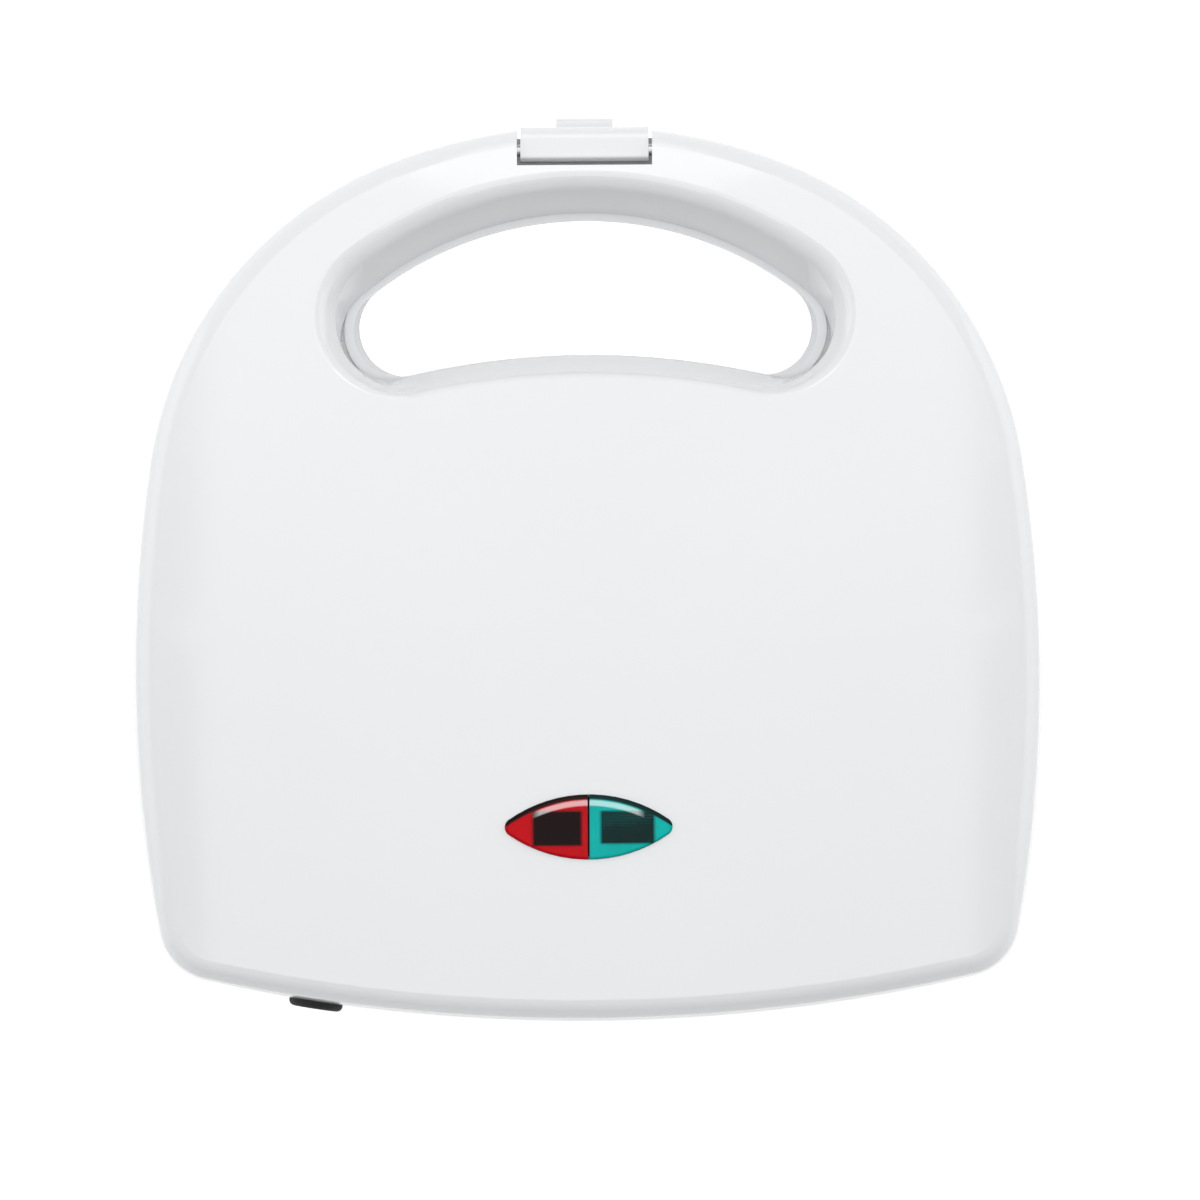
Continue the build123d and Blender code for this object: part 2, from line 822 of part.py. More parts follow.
def upper_housing_screws():
    """Six screws from the parting side through the frame's cups into the lid's bosses."""
    under = frame_cup_depth - 1.2 - 0.05
    return group(screw(x, y, under, 9.0) for x, y in both_sides(frame_screws))


def lower_housing_screws():
    """Six screws from below, sunk in the base's columns, drawn upside down."""
    under = column_seat + 0.05
    pieces = []
    for x, y in both_sides(frame_screws):
        head = post(x, y, under, under + screw_head_height, screw_head_radius)
        head = fillet(head.edges().group_by(Axis.Z)[-1], 0.8)
        pieces.append(head + post(x, y, frame_step + 1.6, under, screw_radius - 0.05))
    return group(pieces)


def lower_housing():
    """The base shell with its columns, hinge ribs, catch, foot holes and cord hole."""
    solid = base_block(0.1, half_gap)
    shell = base_block(0, half_gap) - base_block(shell_wall, half_gap - 1)
    half = notch_width / 2
    wall = half + shell_wall
    liner = box((-wall, front_y, half_gap), (wall, recess_y + shell_wall, 60))
    liner += box((-wall, front_y, catch_height - shell_wall), (wall, catch_rear_y + shell_wall, 60))
    shell += liner & solid
    shell -= box((-half, front_y - 5, -1), (half, recess_y, 60))
    shell -= box((-half, front_y - 5, catch_height), (half, catch_rear_y, 60))
    for x, y in both_sides(frame_screws):
        shell += post(x, y, frame_cup_depth + 0.6, 60, column_radius) & solid
        shell -= post(x, y, column_seat, 60, column_bore_radius)
        shell -= post(x, y, 0, column_seat + 1, screw_radius + hole_clearance)
    ribs = []
    for side in (1, -1):
        for way in (1, -1):
            near = ear_middle_x + way * (ear_width / 2 + ear_side_gap)
            far = near + way * rib_thickness
            low, high = sorted((side * near, side * far))
            rib = box((low, hinge_y - 5, hinge_drop), (high, 130, 60))
            rib += Pos((low + high) / 2, hinge_y, hinge_drop) * bar_x(0, 0, 5, rib_thickness)
            ribs.append(rib & solid)
    for rib in ribs:
        shell += rib
    slot = ear_width / 2 + ear_side_gap
    for side in (1, -1):
        middle = side * ear_middle_x
        shell -= box(
            (middle - slot, hinge_y + 2, -1), (middle + slot, 140, hinge_drop + slot_depth)
        )
        shell -= Pos(middle, hinge_y, hinge_drop) * bar_x(
            0, 0, hinge_pin_radius + pin_clearance, ear_width + 2 * rib_thickness + 3
        )
    shell -= box(
        (sleeve_x - sleeve_radius - 1, hinge_y + 2, -1),
        (sleeve_x + sleeve_radius + 1, 140, hinge_drop + sleeve_radius + 3.6),
    )
    bevel = box((-200, 88, half_gap - 1), (200, 200, half_gap + rear_bevel_height))
    cone = loft(
        [
            Pos(0, 0, half_gap + rear_bevel_height) * outline(0),
            Pos(0, 0, half_gap - 1) * outline(rear_bevel_width * 1.45),
        ],
        ruled=True,
    )
    shell -= bevel - cone
    for x, y in both_sides(foot_places):
        shell -= post(x, y, 20, 60, foot_spigot_radius + 0.1)
    depth = parting_z - gland_height
    shell -= at_inlet(
        Pos(0, -4, depth) * Rot(90, 0, 0) * Cylinder(gland_neck_radius + 0.1, 16)
    )
    return shell


def at_inlet(shape):
    """Turned and moved to where the cord goes in, square to the curved rear wall."""
    x = ear_middle_x + gland_shift
    turn = asin(x / rear_radius)
    y = rear_y - rear_radius * (1 - cos(turn))
    return Pos(x, y, 0) * Rot(0, 0, -degrees(turn)) * shape


def foot(x, y):
    """A rubber foot with a spigot through the base's floor."""
    pad = post(x, y, 0, foot_height - 0.05, foot_radius)
    pad = fillet(pad.edges().group_by(Axis.Z)[0], 1.2)
    spigot = post(x, y, foot_height - 0.1, foot_height + shell_wall + 1.5, foot_spigot_radius)
    return pad + chamfer(spigot.edges().group_by(Axis.Z)[-1], 0.6)


def gland():
    """The cord bush: an outer flange, a neck through the rear wall and an inner flange."""
    lean = tan(radians(wall_draft))
    depth = parting_z - gland_height
    outer_y = 0.15 - (depth - gland_radius) * lean
    inner_y = -(depth + gland_radius) * lean - shell_wall - 0.35
    sections = [
        (gland_tip, outer_y, gland_radius),
        (outer_y + 0.2, inner_y - 0.2, gland_neck_radius),
        (inner_y, inner_y - 2.0, gland_radius - 0.9),
    ]
    bush = None
    for rear, front, radius in sections:
        ring = Pos(0, (rear + front) / 2, 0) * Rot(90, 0, 0) * Cylinder(radius, rear - front)
        bush = ring if bush is None else bush + ring
    bush = fillet(bush.edges().group_by(Axis.Y)[-1], 1.5)
    bush -= Rot(90, 0, 0) * Cylinder(gland_bore_radius, 30)
    return at_inlet(Pos(0, 0, gland_height) * bush)


def hinge_pin(side):
    length = ear_width + 2 * ear_side_gap + 2 * rib_thickness
    return Pos(side * ear_middle_x, hinge_y, hinge_z) * bar_x(0, 0, hinge_pin_radius, length)


def thermostat():
    """A bimetal thermostat on a two-eared bracket against the lower plate's back."""
    low = bump_back + 0.1
    can = post(thermostat_x, thermostat_y, low, low + thermostat_height, thermostat_radius)
    can = fillet(can.edges().group_by(Axis.Z)[-1], 1.0)
    ears = Pos(thermostat_x, thermostat_y, low + 0.5) * Box(29, 7, 1.0)
    shape = can + ears
    for x in thermostat_holes():
        shape -= post(x, thermostat_y, low - 1, low + 3, screw_radius - 0.1)
    for x in (-3.0, 3.0):
        blade = Pos(thermostat_x + x, thermostat_y, low + thermostat_height) * Box(0.8, 4, 0.8)
        shape += blade
    return shape


def thermostat_holes():
    half = thermostat_hole_pitch / 2
    return [thermostat_x - half, thermostat_x + half]


def thermostat_screws():
    low = bump_back + 1.15
    pieces = []
    for x in thermostat_holes():
        head = post(x, thermostat_y, low, low + 1.4, 2.2)
        head = fillet(head.edges().group_by(Axis.Z)[-1], 0.6)
        pieces.append(head + post(x, thermostat_y, bump_back - 1.4, low, screw_radius - 0.4))
    return group(pieces)


def lower_plate():
    shape = plate()
    for x in thermostat_holes():
        shape -= post(x, thermostat_y, bump_back - 1.6, bump_back + 1, screw_radius - 0.35)
    return shape


def thermal_fuse():
    """A small cartridge in a sleeve, lying on the lower plate's back."""
    body = Pos(-thermostat_x, thermostat_y, bump_back + 2.3) * Rot(90, 0, 0) * Cylinder(2.0, 16)
    return fillet(body.edges().filter_by(GeomType.CIRCLE), 0.7)


def fuse_clip():
    """The strap over the fuse, with a foot on each side."""
    x = -thermostat_x
    y = thermostat_y
    level = bump_back + 2.3
    outer = 2.0 + 0.2 + clip_sheet
    strap = Pos(x, y, level) * Rot(90, 0, 0) * Cylinder(outer, 5)
    legs = box((x - outer, y - 2.5, bump_back + 0.1), (x + outer, y + 2.5, level))
    feet = box(
        (x - outer - 4, y - 2.5, bump_back + 0.1), (x + outer + 4, y + 2.5, bump_back + 0.7)
    )
    bore = Pos(x, y, level) * Rot(90, 0, 0) * Cylinder(2.2, 8)
    gap = box((x - 2.2, y - 5, bump_back - 1), (x + 2.2, y + 5, level))
    return strap + legs + feet - bore - gap


def terminal_block():
    """Three screw terminals on the base's floor."""
    floor = foot_height + shell_wall + 0.1
    block = box((-15, 62, floor), (15, 76, floor + 8))
    block = chamfer(block.edges().filter_by(Axis.X).group_by(Axis.Z)[-1], 1.5)
    for x in (-9.5, 0.0, 9.5):
        block -= post(x, 69, floor + 5, floor + 10, 2.0)
        block -= Pos(x, 69, floor + 3) * Rot(90, 0, 0) * Cylinder(1.5, 20)
    return block


def cord_clamp():
    """A bridge that presses the cord's jacket inside the gland."""
    floor = foot_height + shell_wall + 0.1
    y = -clamp_inset
    bridge = box((-12, y - 3.5, floor), (12, y + 3.5, floor + 3))
    arch = box((-7, y - 3.5, floor), (7, y + 3.5, gland_height + 6))
    bore = Pos(0, y, gland_height) * Rot(90, 0, 0) * Cylinder(gland_bore_radius, 12)
    shape = bridge + arch - bore
    for x in (-9.3, 9.3):
        shape -= post(x, y, floor - 1, floor + 5, 1.3)
    return at_inlet(shape)


def cord_clamp_screws():
    floor = foot_height + shell_wall + 0.1
    y = -clamp_inset
    pieces = []
    for x in (-9.3, 9.3):
        head = post(x, y, floor + 3.05, floor + 4.8, 2.1)
        head = fillet(head.edges().group_by(Axis.Z)[-1], 0.7)
        pieces.append(at_inlet(head + post(x, y, floor + 0.1, floor + 3.05, 1.15)))
    return group(pieces)


def lamp_screws():
    under = lamp_ear_top() - 0.05 - 1.6 - 0.05
    pieces = []
    for x in (-18.0, 18.0):
        head = post(x, window_y, under - 1.4, under, 2.1)
        head = fillet(head.edges().group_by(Axis.Z)[0], 0.6)
        pieces.append(head + post(x, window_y, under, lamp_ear_top() + 2.4, 0.95))
    return group(pieces)


def sleeve(lid):
    """Half of the leads' sleeve. The lid's half ends in a ball on the hinge line."""
    if lid:
        low, high = hinge_z, parting_z + sleeve_reach
        return post(sleeve_x, hinge_y, low, high, sleeve_radius) + Pos(
            sleeve_x, hinge_y, hinge_z
        ) * Sphere(sleeve_radius)
    low, high = foot_height + shell_wall + 6, hinge_z - sleeve_radius - sleeve_gap
    return post(sleeve_x, hinge_y, low, high, sleeve_radius)


def upper_leads():
    """Leads from the sleeve to the heater's two ends and to the lamps."""
    start = sleeve_reach + 0.2
    low = shield_back + 1.5
    high = low + 2.6
    pin = element_pin_pitch / 2
    drop_y = plate_rear_y + 8 + lead_radius + 0.2
    holder_y = window_y + 7.5 + 1.0
    routes = [
        [(sleeve_x - 1.4, hinge_y - 0.8, start), (sleeve_x - 1.4, hinge_y - 0.8, low),
         (-pin, drop_y, low), (-pin, drop_y, element_height)],
        [(sleeve_x, hinge_y + 1.6, start), (sleeve_x, hinge_y + 1.6, high),
         (pin, drop_y, high), (pin, drop_y, element_height)],
        [(sleeve_x + 1.4, hinge_y - 0.8, start), (sleeve_x + 1.4, hinge_y - 0.8, low),
         (-2.0, holder_y, low)],
    ]
    return group(tube(route, 3.0, lead_radius) for route in routes)


def lower_leads():
    """Leads from the heater's ends and the sleeve to the terminals, in the row's heights."""
    level = foot_height + shell_wall + 3.1
    pin = element_pin_pitch / 2
    drop_y = plate_rear_y + 8 + lead_radius + 0.2
    top = parting_z - element_height
    start = foot_height + shell_wall + 5.8
    block_y = 76.3
    routes = [
        [(-pin, drop_y, top), (-pin, drop_y, level), (-9.5, block_y, level)],
        [(pin, drop_y, top), (pin, drop_y, level), (9.5, block_y, level)],
        [(sleeve_x - 1.4, hinge_y, start), (sleeve_x - 1.4, hinge_y, level),
         (sleeve_x - 6, 69, level), (-15.3, 69, level)],
    ]
    return group(tube(route, 2.4, lead_radius) for route in routes)


def build():
    """Every sub-part by its node name."""
    lens_red = lens(1)
    parts = {
        "upper_housing": lift(upper_housing()),
        "upper_frame": lift(frame(True)),
        "upper_plate": lift(plate()),
        "upper_heating_element": lift(element()),
        "upper_element_clips": lift(clips()),
        "upper_heat_shield": lift(shield()),
        "upper_shield_screws": lift(shield_screws()),
        "upper_housing_screws": lift(upper_housing_screws()),
        "red_lens": lift(lens_red),
        "green_lens": lift(mirror(lens_red, about=Plane.YZ)),
        "lamp_holder": lift(lamp_holder()),
        "red_neon_lamp": lift(neon_lamp(1)),
        "green_neon_lamp": lift(neon_lamp(-1)),
        "lamp_holder_screws": lift(lamp_screws()),
        "upper_leads": lift(upper_leads()),
        "upper_lead_sleeve": sleeve(True),
        "latch": lift(latch()),
        "latch_pin": lift(latch_pin()),
        "lower_housing": sink(lower_housing()),
        "lower_frame": sink(frame(False)),
        "lower_plate": sink(lower_plate()),
        "lower_heating_element": sink(element()),
        "lower_element_clips": sink(clips()),
        "lower_heat_shield": sink(shield()),
        "lower_shield_screws": sink(shield_screws()),
        "lower_housing_screws": sink(lower_housing_screws()),
        "thermostat": sink(thermostat()),
        "thermostat_screws": sink(thermostat_screws()),
        "thermal_fuse": sink(thermal_fuse()),
        "fuse_clip": sink(fuse_clip()),
        "terminal_block": terminal_block(),
        "cord_clamp": cord_clamp(),
        "cord_clamp_screws": cord_clamp_screws(),
        "cord_gland": gland(),
        "lower_lead_sleeve": sleeve(False),
        "lower_leads": lower_leads(),
        "rubber_feet": group(foot(x, y) for x, y in both_sides(foot_places)),
        "hinge_pins": group(hinge_pin(side) for side in (1, -1)),
    }
    return parts


os.makedirs("parts", exist_ok=True)
for name, shape in build().items():
    export_step(shape, f"parts/{name}.step")
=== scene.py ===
from math import pi, radians

import bpy
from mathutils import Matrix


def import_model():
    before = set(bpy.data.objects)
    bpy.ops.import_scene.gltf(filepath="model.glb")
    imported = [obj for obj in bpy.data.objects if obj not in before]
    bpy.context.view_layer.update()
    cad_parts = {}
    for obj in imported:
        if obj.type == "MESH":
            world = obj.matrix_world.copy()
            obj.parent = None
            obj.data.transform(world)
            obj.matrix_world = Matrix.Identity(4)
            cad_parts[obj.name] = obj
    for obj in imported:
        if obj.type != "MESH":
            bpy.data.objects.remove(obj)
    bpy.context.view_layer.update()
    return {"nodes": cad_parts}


# A white sandwich maker, closed, photographed from straight above on a white ground.
# Lengths are in metres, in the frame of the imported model, unless a name says otherwise.

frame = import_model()

# The photograph: its width, its scale, and where the middle of the outline lies in it
PICTURE_WIDTH_PX = 1200
MM_PER_PX = 0.25841
OUTLINE_MIDDLE_PX = (587.3, 573.9)

# The camera looks straight down, from a height measured from the parting line
CAMERA_ROLL = radians(0.36)
CAMERA_DISTANCE = 5.0
CAMERA_FAR_CLIP = 20.0
SENSOR_WIDTH_MM = 36.0
PARTING_HEIGHT = 0.042

# The dark lamp bays, painted into the colour of the two lenses as painted shade where the bays
# show through:
# low and high corners in plan, and how softly they end across and along
RED_BAY_PAINTED_SHADE = ((0.0022, 0.0612), (0.0140, 0.0695))
GREEN_BAY_PAINTED_SHADE = ((-0.0165, 0.0612), (-0.0035, 0.0690))
BAY_SOFT_ACROSS = 0.0009
BAY_SOFT_ALONG = 0.0007

# The front edge of the lenses lies at y = LENS_FRONT_Y + LENS_FRONT_BEND * x * x.
# A dark rim of painted shade and a thin glint follow it; their places are distances behind that
# edge.
LENS_FRONT_Y = 0.0567
LENS_FRONT_BEND = 15.5
EDGE_SHADE_WIDTH = 0.0009
GLINT_NEAR = 0.0016
GLINT_FAR = 0.0026
GLINT_HALF_LENGTH = 0.0125
GLINT_SOFT_END = 0.002
LENS_SOFT_EDGE = 0.0004
ANYWHERE_IN_FRONT = -1.0

# The moulded grid of dots in the green lens: a dot fades between these two distances
DOT_SCALE = 1500.0
DOT_SCATTER = 0.12
DOT_FADE = (0.18, 0.3)

# The middle range of a noise texture, which the looks below are spread over
NOISE_LOW = 0.3
NOISE_HIGH = 0.7

# Soft lights that face down: low and high corners in plan, height and radiance
OVERHEAD_BOX = ((-0.37, -1.30), (0.37, 0.85), 1.60, 1.6)
FRONT_BOX = ((-0.23, -1.70), (0.23, -0.74), 1.20, 1.75)

# Upright panels left and right
SIDE_PANEL_X = 1.3
SIDE_PANEL_Y = -0.3
SIDE_PANEL_TOP = 1.3
SIDE_PANEL_REACH = 1.4
SIDE_PANEL_RADIANCE = 0.95

# The world's light fades between two directions, given by their Y, from front to rear
WORLD_FADE_Y = (-0.3, 0.75)
WORLD_LEVELS = (0.7, 0.38)

# The table, and how much white it adds where the camera or the gloss sees it
TABLE_REACH = 6.0
TABLE_GREY = 0.9
TABLE_ROUGHNESS = 0.9
TABLE_GLOW = 0.55
MIRRORED_GLOW = 0.3
WHITE = (1.0, 1.0, 1.0, 1.0)


def new_material(name):
    """A new material, its node tree and its shader."""
    material = bpy.data.materials.new(name)
    material.use_nodes = True
    tree = material.node_tree
    return material, tree, tree.nodes["Principled BSDF"]


def noise(tree, scale, detail=3.0, roughness=0.5, stretch=None):
    """Noise in the piece's own metres, stretched along one direction if asked."""
    place = tree.nodes.new("ShaderNodeTexCoord")
    texture = tree.nodes.new("ShaderNodeTexNoise")
    texture.inputs["Scale"].default_value = scale
    texture.inputs["Detail"].default_value = detail
    texture.inputs["Roughness"].default_value = roughness
    where = place.outputs["Object"]
    if stretch:
        mapping = tree.nodes.new("ShaderNodeMapping")
        mapping.inputs["Scale"].default_value = stretch
        tree.links.new(where, mapping.inputs["Vector"])
        where = mapping.outputs["Vector"]
    tree.links.new(where, texture.inputs["Vector"])
    return texture.outputs["Fac"]


def remap(tree, source, old, new):
    """A value mapped from the old pair of ends to the new pair, and held beyond them."""
    ramp = tree.nodes.new("ShaderNodeMapRange")
    ends = ("From Min", "From Max", "To Min", "To Max")
    for end, level in zip(ends, (*old, *new)):
        ramp.inputs[end].default_value = level
    tree.links.new(source, ramp.inputs["Value"])
    return ramp.outputs["Result"]


def times(tree, first, second):
    """The product of two values."""
    product = tree.nodes.new("ShaderNodeMath")
    product.operation = "MULTIPLY"
    tree.links.new(first, product.inputs[0])
    tree.links.new(second, product.inputs[1])
    return product.outputs["Value"]


def times_and_add(tree, first, factor, second=None):
    """The first value times a fixed factor, plus the second where there is one."""
    total = tree.nodes.new("ShaderNodeMath")
    total.operation = "MULTIPLY_ADD"
    total.inputs[1].default_value = factor
    total.inputs[2].default_value = 0.0
    tree.links.new(first, total.inputs[0])
    if second:
        tree.links.new(second, total.inputs[2])
    return total.outputs["Value"]


def inside(tree, value, low, high, soft):
    """1 where a coordinate lies between low and high, with soft ends."""
    rise = remap(tree, value, (low - soft, low), (0.0, 1.0))
    fall = remap(tree, value, (high, high + soft), (1.0, 0.0))
    return times(tree, rise, fall)


def tint(tree, source, dark, light):
    """The middle range of a noise mapped to a mix of two colours."""
    ramp = tree.nodes.new("ShaderNodeValToRGB")
    stops = ramp.color_ramp.elements
    for stop, position, colour in zip(stops, (NOISE_LOW, NOISE_HIGH), (dark, light)):
        stop.position = position
        stop.color = (*colour, 1.0)
    tree.links.new(source, ramp.inputs["Fac"])
    return ramp.outputs["Color"]


def blend_colours(tree, amount, first, second):
    """The first colour where the amount is 0 and the second where it is 1."""
    mix = tree.nodes.new("ShaderNodeMix")
    mix.data_type = "RGBA"
    tree.links.new(amount, mix.inputs[0])
    for colour, socket in ((first, mix.inputs[6]), (second, mix.inputs[7])):
        if isinstance(colour, tuple):
            socket.default_value = (*colour, 1.0)
        else:
            tree.links.new(colour, socket)
    return mix.outputs[2]


def shaded(colour, share):
    """A colour darkened to a share of itself."""
    return tuple(share * part for part in colour)


def set_colour(tree, shader, source, dark, light):
    tree.links.new(tint(tree, source, dark, light), shader.inputs["Base Color"])


def set_roughness(tree, shader, source, low, high):
    level = remap(tree, source, (NOISE_LOW, NOISE_HIGH), (low, high))
    tree.links.new(level, shader.inputs["Roughness"])


def set_bump(tree, shader, source, strength, depth):
    bump = tree.nodes.new("ShaderNodeBump")
    bump.inputs["Strength"].default_value = strength
    bump.inputs["Distance"].default_value = depth
    tree.links.new(source, bump.inputs["Height"])
    tree.links.new(bump.outputs["Normal"], shader.inputs["Normal"])


def white_plastic():
    """Polished moulded ABS: near white, glossy, with the faintest moulding ripple."""
    material, tree, shader = new_material("white_plastic")
    cloud = noise(tree, 9.0, 2.0)
    set_colour(tree, shader, cloud, (0.765, 0.778, 0.792), (0.78, 0.792, 0.806))
    fine = noise(tree, 160.0, 2.0)
    set_roughness(tree, shader, fine, 0.055, 0.085)
    ripple = noise(tree, 14.0, 1.0)
    set_bump(tree, shader, ripple, 0.06, 0.0004)
    shader.inputs["IOR"].default_value = 1.53
    return material


def satin_plastic(name, dark, light, roughness):
    """Textured moulded plastic with a fine grain."""
    material, tree, shader = new_material(name)
    set_colour(tree, shader, noise(tree, 40.0), dark, light)
    grain = noise(tree, 1800.0, 2.0)
    set_roughness(tree, shader, grain, roughness - 0.06, roughness + 0.06)
    set_bump(tree, shader, grain, 0.25, 0.00008)
    return material


def nonstick():
    """Dark non-stick coating with its fine metallic fleck and a slight orange peel."""
    material, tree, shader = new_material("nonstick")
    fleck = noise(tree, 2600.0, 1.0)
    set_colour(tree, shader, fleck, (0.018, 0.018, 0.02), (0.05, 0.05, 0.054))
    peel = noise(tree, 520.0, 2.0)
    set_roughness(tree, shader, peel, 0.26, 0.38)
    set_bump(tree, shader, peel, 0.3, 0.00006)
    shader.inputs["Specular IOR Level"].default_value = 0.55
    return material


def metal(name, dark, light, roughness, stretch=(1.0, 1.0, 1.0)):
    """Drawn or pressed metal whose grain runs along the axis that is stretched least."""
    material, tree, shader = new_material(name)
    shader.inputs["Metallic"].default_value = 1.0
    grain = noise(tree, 700.0, 3.0, 0.6, stretch)
    set_colour(tree, shader, grain, dark, light)
    set_roughness(tree, shader, grain, roughness - 0.07, roughness + 0.07)
    set_bump(tree, shader, grain, 0.15, 0.00004)
    return material


def rubber(name, dark, light):
    """Dull black rubber with a powdery bloom."""
    material, tree, shader = new_material(name)
    set_colour(tree, shader, noise(tree, 60.0), dark, light)
    grain = noise(tree, 1200.0)
    set_roughness(tree, shader, grain, 0.62, 0.8)
    set_bump(tree, shader, grain, 0.3, 0.0001)
    return material


def lamp_glass():
    """Thin glass of a neon lamp, slightly smoked at the electrodes."""
    material, tree, shader = new_material("lamp_glass")
    smoke = noise(tree, 220.0)
    set_colour(tree, shader, smoke, (0.75, 0.62, 0.5), (0.95, 0.9, 0.84))
    shader.inputs["Transmission Weight"].default_value = 0.85
    shader.inputs["Roughness"].default_value = 0.05
    return material


def dotted(tree, where, ground, dot_colour):
    """A colour with the moulded grid of dots over it."""
    grid = tree.nodes.new("ShaderNodeTexVoronoi")
    grid.inputs["Scale"].default_value = DOT_SCALE
    grid.inputs["Randomness"].default_value = DOT_SCATTER
    tree.links.new(where, grid.inputs["Vector"])
    spot = remap(tree, grid.outputs["Distance"], DOT_FADE, (1.0, 0.0))
    return blend_colours(tree, spot, ground, dot_colour)


def tinted_lens(name, bright, painted_shade_colour, painted_bay, dots):
    """Moulded lens, coloured through, with painted shade in its colour where the dark lamp bay
    shows behind it.

    A dark rim of painted shade runs along its front edge, and behind that a glint, which is a
    band of coat.
    """
    material, tree, shader = new_material(name)
    where = tree.nodes.new("ShaderNodeTexCoord").outputs["Object"]
    axes = tree.nodes.new("ShaderNodeSeparateXYZ")
    tree.links.new(where, axes.inputs["Vector"])
    x, y = axes.outputs["X"], axes.outputs["Y"]
    bent_y = times_and_add(tree, times(tree, x, x), -LENS_FRONT_BEND, y)

    swirl = noise(tree, 140.0, 2.0)
    colour = tint(tree, swirl, shaded(bright, 0.86), bright)
    # Painted shade: the unlit lamp bay and its dark holder behind the lens, painted into the
    # lens colour
    painted_bay_shade = tint(tree, swirl, shaded(painted_shade_colour, 0.6), painted_shade_colour)
    if dots:
        painted_bay_shade = dotted(tree, where, painted_bay_shade, shaded(bright, 0.3))
    low, high = painted_bay
    across = inside(tree, x, low[0], high[0], BAY_SOFT_ACROSS)
    along = inside(tree, y, low[1], high[1], BAY_SOFT_ALONG)
    colour = blend_colours(tree, times(tree, across, along), colour, painted_bay_shade)
    # Painted shade: a dark rim painted along the lens's front edge
    painted_edge_shade = inside(tree, bent_y, ANYWHERE_IN_FRONT, LENS_FRONT_Y + EDGE_SHADE_WIDTH, LENS_SOFT_EDGE)
    painted_edge_shade_colour = tuple(0.004 + part for part in shaded(painted_shade_colour, 0.8))
    colour = blend_colours(tree, painted_edge_shade, colour, painted_edge_shade_colour)
    tree.links.new(colour, shader.inputs["Base Color"])

    band = inside(
        tree, bent_y, LENS_FRONT_Y + GLINT_NEAR, LENS_FRONT_Y + GLINT_FAR, LENS_SOFT_EDGE
    )
    reach = inside(tree, x, -GLINT_HALF_LENGTH, GLINT_HALF_LENGTH, GLINT_SOFT_END)
    tree.links.new(times(tree, band, reach), shader.inputs["Coat Weight"])
    shader.inputs["Coat IOR"].default_value = 2.6
    shader.inputs["Coat Roughness"].default_value = 0.04
    shader.inputs["Specular IOR Level"].default_value = 0.02
    shader.inputs["Transmission Weight"].default_value = 0.12
    shader.inputs["IOR"].default_value = 1.49
    haze = noise(tree, 400.0, 1.0)
    set_roughness(tree, shader, haze, 0.02, 0.05)
    ripple = noise(tree, 60.0, 1.0)
    set_bump(tree, shader, ripple, 0.12, 0.0003)
    return material


def dress(names, material):
    """Give CAD nodes their material by filling every slot of their meshes."""
    for name in names.split():
        for slot in frame["nodes"][name].material_slots:
            slot.material = material


def dress_all():
    """Every CAD node gets its material, from the outside in."""
    dress("upper_housing lower_housing upper_frame lower_frame latch", white_plastic())
    dress("upper_plate lower_plate", nonstick())
    dress(
        "upper_heating_element lower_heating_element",
        metal("heater_steel", (0.12, 0.11, 0.1), (0.3, 0.28, 0.25), 0.45),
    )
    dress(
        "upper_heat_shield lower_heat_shield",
        metal("shield_sheet", (0.52, 0.52, 0.53), (0.68, 0.68, 0.69), 0.32, (1, 14, 14)),
    )
    dress(
        "upper_element_clips lower_element_clips fuse_clip thermostat",
        metal("pressed_steel", (0.42, 0.42, 0.43), (0.6, 0.6, 0.61), 0.34, (12, 1, 12)),
    )
    dress(
        "upper_shield_screws lower_shield_screws upper_housing_screws lower_housing_screws"
        " lamp_holder_screws thermostat_screws cord_clamp_screws latch_pin hinge_pins",
        metal("screw_steel", (0.4, 0.4, 0.4), (0.58, 0.58, 0.57), 0.3, (1, 1, 8)),
    )
    dress(
        "red_lens",
        tinted_lens("red_lens", (0.6, 0.0, 0.006), (0.009, 0.0, 0.0), RED_BAY_PAINTED_SHADE, False),
    )
    dress(
        "green_lens",
        tinted_lens("green_lens", (0.0, 0.5, 0.46), (0.0, 0.026, 0.025), GREEN_BAY_PAINTED_SHADE, True),
    )
    dress("red_neon_lamp green_neon_lamp", lamp_glass())
    dress(
        "lamp_holder",
        satin_plastic("holder_plastic", (0.03, 0.02, 0.02), (0.05, 0.04, 0.04), 0.5),
    )
    dress(
        "terminal_block cord_clamp",
        satin_plastic("block_plastic", (0.62, 0.6, 0.55), (0.7, 0.68, 0.62), 0.5),
    )
    dress(
        "upper_leads lower_leads",
        satin_plastic("lead_jacket", (0.66, 0.64, 0.58), (0.74, 0.72, 0.66), 0.55),
    )
    dress(
        "thermal_fuse",
        satin_plastic("fuse_sleeve", (0.6, 0.58, 0.5), (0.72, 0.7, 0.62), 0.8),
    )
    dress(
        "rubber_feet cord_gland upper_lead_sleeve lower_lead_sleeve",
        rubber("black_rubber", (0.012, 0.012, 0.012), (0.03, 0.03, 0.03)),
    )


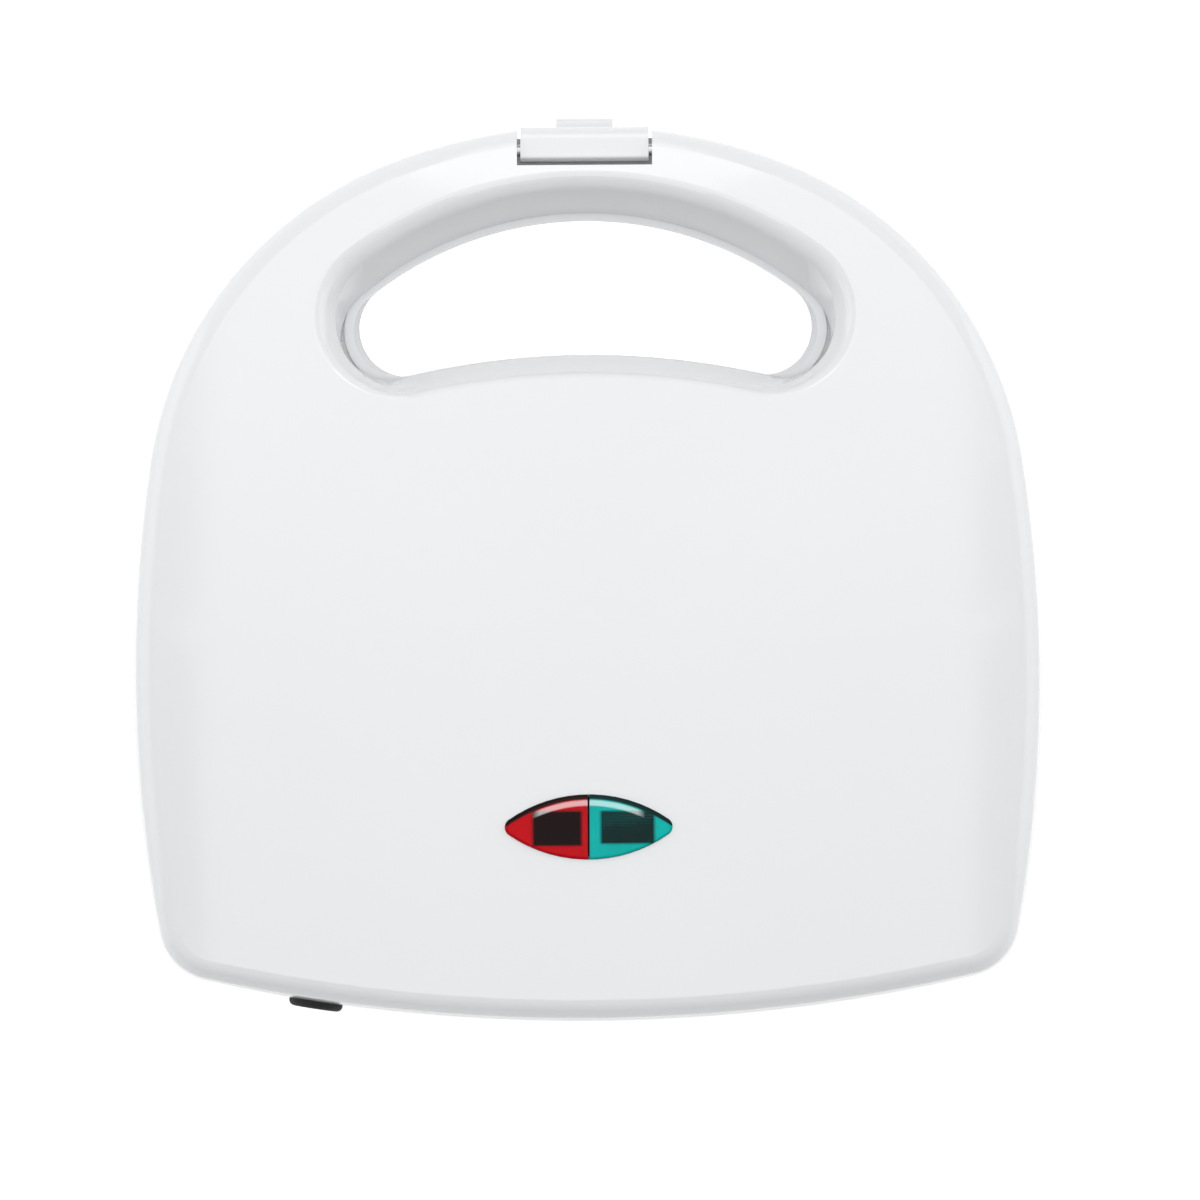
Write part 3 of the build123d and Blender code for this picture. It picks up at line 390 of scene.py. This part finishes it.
def table():
    """The white table: bright enough to print white, and it keeps the object's shadow."""
    mesh = bpy.data.meshes.new("floor")
    corners = [
        (side * TABLE_REACH, end * TABLE_REACH, 0)
        for side, end in ((-1, -1), (1, -1), (1, 1), (-1, 1))
    ]
    mesh.from_pydata(corners, [], [(0, 1, 2, 3)])
    surface = bpy.data.objects.new("floor", mesh)
    bpy.context.scene.collection.objects.link(surface)
    material, tree, shader = new_material("table_white")
    shader.inputs["Base Color"].default_value = (TABLE_GREY, TABLE_GREY, TABLE_GREY, 1.0)
    shader.inputs["Roughness"].default_value = TABLE_ROUGHNESS
    shader.inputs["Emission Color"].default_value = WHITE
    path = tree.nodes.new("ShaderNodeLightPath").outputs
    glow = times_and_add(tree, path["Is Camera Ray"], TABLE_GLOW)
    glow = times_and_add(tree, path["Is Glossy Ray"], MIRRORED_GLOW, glow)
    glow = times_and_add(tree, path["Is Transmission Ray"], MIRRORED_GLOW, glow)
    tree.links.new(glow, shader.inputs["Emission Strength"])
    mesh.materials.append(material)


def soft_light(name, middle, turn, size, radiance):
    """A flat light, given by its middle, how it's turned, its size and its brightness."""
    lamp = bpy.data.lights.new(name, "AREA")
    lamp.shape = "RECTANGLE"
    lamp.size, lamp.size_y = size
    lamp.energy = radiance * pi * lamp.size * lamp.size_y
    holder = bpy.data.objects.new(name, lamp)
    holder.location = middle
    holder.rotation_euler = turn
    holder.visible_camera = False
    bpy.context.scene.collection.objects.link(holder)


def softbox(name, low, high, height, radiance):
    """A soft light facing down, given by its corners."""
    middle = ((low[0] + high[0]) / 2, (low[1] + high[1]) / 2, height)
    size = (high[0] - low[0], high[1] - low[1])
    soft_light(name, middle, (0.0, 0.0, 0.0), size, radiance)


def side_panels():
    """Upright white panels left and right, which brighten the steep edges."""
    for side in (1, -1):
        middle = (side * SIDE_PANEL_X, SIDE_PANEL_Y, SIDE_PANEL_TOP / 2)
        turn = (0.0, side * pi / 2, 0.0)
        size = (SIDE_PANEL_TOP, SIDE_PANEL_REACH)
        soft_light("panel", middle, turn, size, SIDE_PANEL_RADIANCE)


def world():
    """White behind the object. For its light and gloss, pale in front and greyer behind."""
    studio = bpy.data.worlds.new("studio")
    bpy.context.scene.world = studio
    studio.use_nodes = True
    tree = studio.node_tree
    tree.nodes.clear()
    seen = tree.nodes.new("ShaderNodeBackground")
    seen.inputs["Color"].default_value = WHITE
    seen.inputs["Strength"].default_value = 1.0
    lit = tree.nodes.new("ShaderNodeBackground")
    lit.inputs["Color"].default_value = WHITE
    way = tree.nodes.new("ShaderNodeTexCoord")
    axes = tree.nodes.new("ShaderNodeSeparateXYZ")
    tree.links.new(way.outputs["Generated"], axes.inputs["Vector"])
    level = remap(tree, axes.outputs["Y"], WORLD_FADE_Y, WORLD_LEVELS)
    tree.links.new(level, lit.inputs["Strength"])
    path = tree.nodes.new("ShaderNodeLightPath")
    mix = tree.nodes.new("ShaderNodeMixShader")
    out = tree.nodes.new("ShaderNodeOutputWorld")
    tree.links.new(path.outputs["Is Camera Ray"], mix.inputs["Fac"])
    tree.links.new(lit.outputs["Background"], mix.inputs[1])
    tree.links.new(seen.outputs["Background"], mix.inputs[2])
    tree.links.new(mix.outputs["Shader"], out.inputs["Surface"])


def camera():
    """Straight above, the handle at the top of the picture, matched to the outline's middle."""
    metres_per_px = MM_PER_PX / 1000
    lens = bpy.data.cameras.new("camera")
    lens.sensor_width = SENSOR_WIDTH_MM
    lens.lens = SENSOR_WIDTH_MM * CAMERA_DISTANCE / (PICTURE_WIDTH_PX * metres_per_px)
    lens.clip_end = CAMERA_FAR_CLIP
    eye = bpy.data.objects.new("camera", lens)
    picture_middle = PICTURE_WIDTH_PX / 2
    eye.location = (
        (OUTLINE_MIDDLE_PX[0] - picture_middle) * metres_per_px,
        (picture_middle - OUTLINE_MIDDLE_PX[1]) * metres_per_px,
        PARTING_HEIGHT + CAMERA_DISTANCE,
    )
    eye.rotation_euler = (0.0, 0.0, pi - CAMERA_ROLL)
    bpy.context.scene.collection.objects.link(eye)
    bpy.context.scene.camera = eye


bpy.context.scene.view_settings.view_transform = "Standard"
dress_all()
table()
softbox("overhead", *OVERHEAD_BOX)
softbox("front", *FRONT_BOX)
side_panels()
world()
camera()
